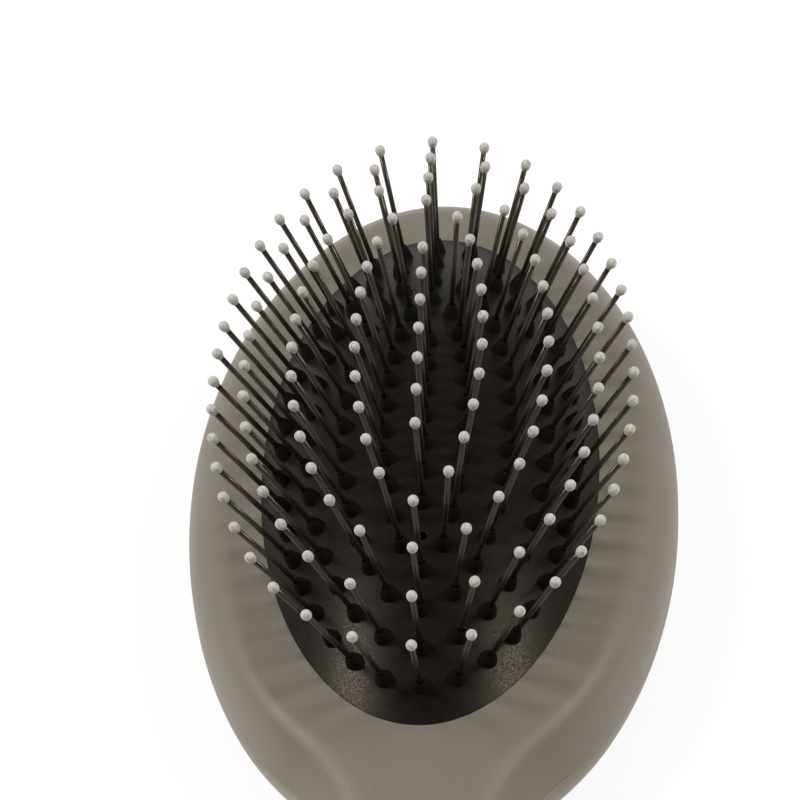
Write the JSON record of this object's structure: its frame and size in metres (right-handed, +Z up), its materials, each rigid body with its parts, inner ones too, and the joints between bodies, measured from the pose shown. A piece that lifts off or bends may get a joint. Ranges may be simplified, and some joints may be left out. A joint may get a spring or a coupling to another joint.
{
  "type": "dog pin brush",
  "caption": "Dog grooming pin brush: oval head with a domed rubber air cushion, ball-tipped steel pins in oval rings and a plain soft-touch handle.",
  "frame": {"origin": "middle of the brush's box in plan, on the flat back it lies on", "axes": "+Z up, the way the pins point; +Y along the brush, from the handle to the far end of the head; +X to the right, seen from the handle"},
  "size_m": [0.0756, 0.234, 0.0481],
  "materials": {
    "soft_touch": "warm grey soft-touch moulding, fine satin grain",
    "black_rubber": "black moulded rubber, soft satin sheen",
    "tray_plastic": "dark moulded plastic",
    "pin_steel": "drawn steel wire",
    "pin_tip": "pale grey resin ball tip"
  },
  "bodies": {
    "brush_body": {"face_shell": "soft_touch", "back_shell": "soft_touch", "cushion_membrane": "black_rubber", "cushion_tray": "tray_plastic"},
    "centre_row": {"centre_pins": "pin_steel"},
    "ring_4": {"ring_4_pins_near": "pin_steel", "ring_4_pins_right": "pin_steel", "ring_4_pins_far": "pin_steel", "ring_4_pins_left": "pin_steel"},
    "ring_3": {"ring_3_pins_near": "pin_steel", "ring_3_pins_right": "pin_steel", "ring_3_pins_far": "pin_steel", "ring_3_pins_left": "pin_steel"},
    "ring_2": {"ring_2_pins_near": "pin_steel", "ring_2_pins_right": "pin_steel", "ring_2_pins_far": "pin_steel", "ring_2_pins_left": "pin_steel"},
    "ring_1": {"ring_1_pins_near": "pin_steel", "ring_1_pins_right": "pin_steel", "ring_1_pins_far": "pin_steel", "ring_1_pins_left": "pin_steel"}
  },
  "joints": [
    {"name": "centre_press", "type": "slide", "parent": "brush_body", "child": "centre_row", "axis": [0, 0, -1], "range_m": [0, 0.0036], "stiffness_N_per_m": 600, "deforming": ["cushion_membrane"]},
    {"name": "ring_4_press", "type": "slide", "parent": "brush_body", "child": "ring_4", "axis": [0, 0, -1], "range_m": [0, 0.0033], "stiffness_N_per_m": 600},
    {"name": "ring_3_press", "type": "slide", "parent": "brush_body", "child": "ring_3", "axis": [0, 0, -1], "range_m": [0, 0.0027], "stiffness_N_per_m": 600},
    {"name": "ring_2_press", "type": "slide", "parent": "brush_body", "child": "ring_2", "axis": [0, 0, -1], "range_m": [0, 0.0019], "stiffness_N_per_m": 600},
    {"name": "ring_1_press", "type": "slide", "parent": "brush_body", "child": "ring_1", "axis": [0, 0, -1], "range_m": [0, 0.001], "stiffness_N_per_m": 600}
  ],
  "couplings": [
    {"joint": "ring_4_press", "follows": "centre_press", "ratio": 0.91},
    {"joint": "ring_3_press", "follows": "centre_press", "ratio": 0.74},
    {"joint": "ring_2_press", "follows": "centre_press", "ratio": 0.508},
    {"joint": "ring_1_press", "follows": "centre_press", "ratio": 0.267}
  ]
}
